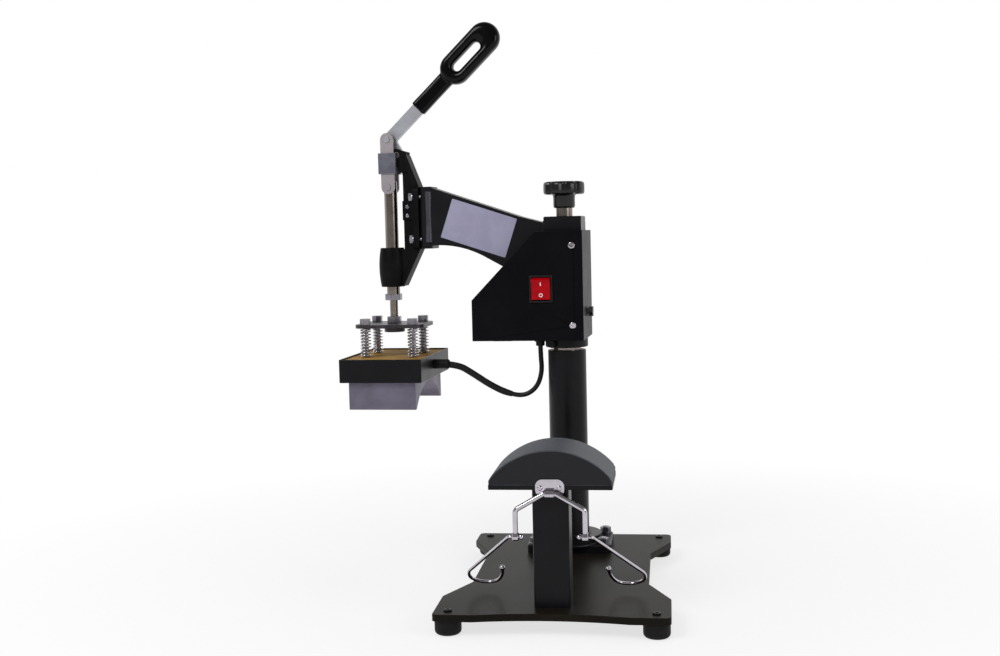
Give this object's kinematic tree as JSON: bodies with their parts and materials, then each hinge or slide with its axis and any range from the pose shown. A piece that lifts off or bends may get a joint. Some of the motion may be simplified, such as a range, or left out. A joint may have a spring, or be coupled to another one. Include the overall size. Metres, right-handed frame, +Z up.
{
  "type": "cap heat press",
  "caption": "Swing-away cap heat press: arched heated platen on a toggle lever arm over a curved silicone pad, with a pressure knob, a control box and a wire cap clamp.",
  "frame": {"origin": "on the table, under the middle of the base plate", "axes": "+Z up, -Y towards the user, +X to the user's right; the head is stored swung to -X"},
  "size_m": [0.4328, 0.4126, 0.7344],
  "materials": {
    "gloss_black": "gloss powder coat",
    "black_coat": "fine texture powder coat",
    "black_casting": "black enamel on cast iron",
    "chrome": "bright chrome plate",
    "zinc": "zinc plated steel",
    "steel": "machined steel",
    "aluminium": "cast and machined aluminium",
    "silicone": "matt silicone",
    "black_rubber": "matt rubber",
    "dipped_grip": "glossy dipped vinyl",
    "black_plastic": "moulded plastic",
    "gloss_black_plastic": "moulded phenolic",
    "red_plastic": "translucent red switch plastic",
    "insulation": "golden brown insulation board",
    "label": "bare satin plate",
    "window": "clear display window",
    "board": "circuit board",
    "grey_plastic": "key caps",
    "nylon": "nylon",
    "bronze": "sintered bronze"
  },
  "bodies": {
    "base": {"base_plate": "gloss_black", "feet": "black_rubber", "foot_screws": "zinc", "pedestal": "black_coat", "pedestal_screws": "zinc", "lower_platen_plate": "black_coat", "lower_pad": "silicone", "platen_screws": "zinc", "column": "black_coat", "column_flange": "black_coat", "column_bolts": "zinc", "swing_shaft": "steel", "clamp_bracket": "zinc", "clamp_screws": "zinc"},
    "lift": {"thrust_washer": "bronze"},
    "knob": {"pressure_knob": "gloss_black_plastic", "knob_stem": "steel"},
    "head": {"hinge_pin": "steel", "head_sleeve": "black_coat", "locking_collar": "black_coat", "sleeve_cap": "black_coat", "swing_bushes": "nylon", "side_bolt": "zinc", "arm": "black_coat", "rating_plate": "label", "toggle_bracket": "black_casting", "bracket_bolts": "zinc", "guide_bush": "bronze", "housing_front_cover": "black_coat", "housing_rear_cover": "black_coat", "housing_screws": "zinc", "switch_bezel": "black_plastic", "controller_body": "black_plastic", "display_window": "window", "control_board": "board", "power_inlet": "black_plastic", "head_gland": "black_plastic", "heater_cable": "black_rubber"},
    "lever": {"lever_bar": "chrome", "handle_grip": "dipped_grip", "knee_pin": "zinc"},
    "link": {"toggle_link": "chrome"},
    "plunger": {"plunger_rod": "chrome", "plunger_pin": "steel", "plunger_nuts": "zinc", "spider_plate": "zinc", "pressure_springs": "zinc"},
    "platen": {"guide_bolts": "zinc", "platen_cover": "black_coat", "insulation_board": "insulation", "heating_element": "insulation", "heating_block": "aluminium", "platen_gland": "black_rubber"},
    "rocker": {"switch_rocker": "red_plastic"},
    "down_key": {"down_key": "grey_plastic"},
    "set_key": {"set_key": "grey_plastic"},
    "up_key": {"up_key": "grey_plastic"},
    "clamp": {"clamp_arch": "chrome"},
    "left_hook": {"left_hook": "chrome"},
    "right_hook": {"right_hook": "chrome"}
  },
  "joints": [
    {"name": "head_lift", "type": "slide", "parent": "base", "child": "lift", "axis": [0, 0, 1], "range_m": [-0.003, 0.006]},
    {"name": "knob_turn", "type": "hinge", "parent": "lift", "child": "knob", "pos_m": [0, 0.119, 0.505], "axis": [0, 0, 1], "range_deg": [-540, 1080]},
    {"name": "head_swing", "type": "hinge", "parent": "lift", "child": "head", "pos_m": [0, 0.119, 0.39], "axis": [0, 0, 1], "range_deg": [-15, 93]},
    {"name": "lever_turn", "type": "hinge", "parent": "head", "child": "lever", "pos_m": [-0.22569, 0.13083, 0.562], "axis": [-0.0523, -0.9986, 0], "range_deg": [0, 120]},
    {"name": "link_turn", "type": "hinge", "parent": "lever", "child": "link", "pos_m": [-0.23767, 0.13146, 0.58278], "axis": [-0.0523, -0.9986, 0], "range_deg": [-120, 0]},
    {"name": "plunger_slide", "type": "slide", "parent": "head", "child": "plunger", "axis": [0, 0, -1], "range_m": [0, 0.0416]},
    {"name": "platen_float", "type": "slide", "parent": "plunger", "child": "platen", "axis": [0, 0, 1], "range_m": [0, 0.004], "stiffness_N_per_m": 6000, "springref_m": -0.005, "deforming": ["pressure_springs"]},
    {"name": "switch_rock", "type": "hinge", "parent": "head", "child": "rocker", "pos_m": [-0.02848, 0.07243, 0.38], "axis": [0.9986, -0.0523, 0], "range_deg": [-16, 0]},
    {"name": "down_key_press", "type": "slide", "parent": "head", "child": "down_key", "axis": [-0.0523, -0.9986, 0], "range_m": [0, 0.0012], "stiffness_N_per_m": 600},
    {"name": "set_key_press", "type": "slide", "parent": "head", "child": "set_key", "axis": [-0.0523, -0.9986, 0], "range_m": [0, 0.0012], "stiffness_N_per_m": 600},
    {"name": "up_key_press", "type": "slide", "parent": "head", "child": "up_key", "axis": [-0.0523, -0.9986, 0], "range_m": [0, 0.0012], "stiffness_N_per_m": 600},
    {"name": "clamp_raise", "type": "hinge", "parent": "base", "child": "clamp", "pos_m": [0, -0.1725, 0.16], "axis": [-1, 0, 0], "range_deg": [0, 80]},
    {"name": "left_hook_turn", "type": "hinge", "parent": "clamp", "child": "left_hook", "pos_m": [-0.0395, -0.1725, 0.111], "axis": [-1, 0, 0], "range_deg": [-80, 0]},
    {"name": "right_hook_turn", "type": "hinge", "parent": "clamp", "child": "right_hook", "pos_m": [0.0395, -0.1725, 0.111], "axis": [-1, 0, 0], "range_deg": [-80, 0]}
  ],
  "couplings": [
    {"joint": "knob_turn", "follows": "head_lift", "rad_per_m": 3141.6},
    {"joint": "link_turn", "follows": "lever_turn", "ratio": -1},
    {"joint": "plunger_slide", "follows": "lever_turn", "m_per_rad": 0.019848},
    {"joint": "left_hook_turn", "follows": "clamp_raise", "ratio": -1},
    {"joint": "right_hook_turn", "follows": "clamp_raise", "ratio": -1}
  ]
}
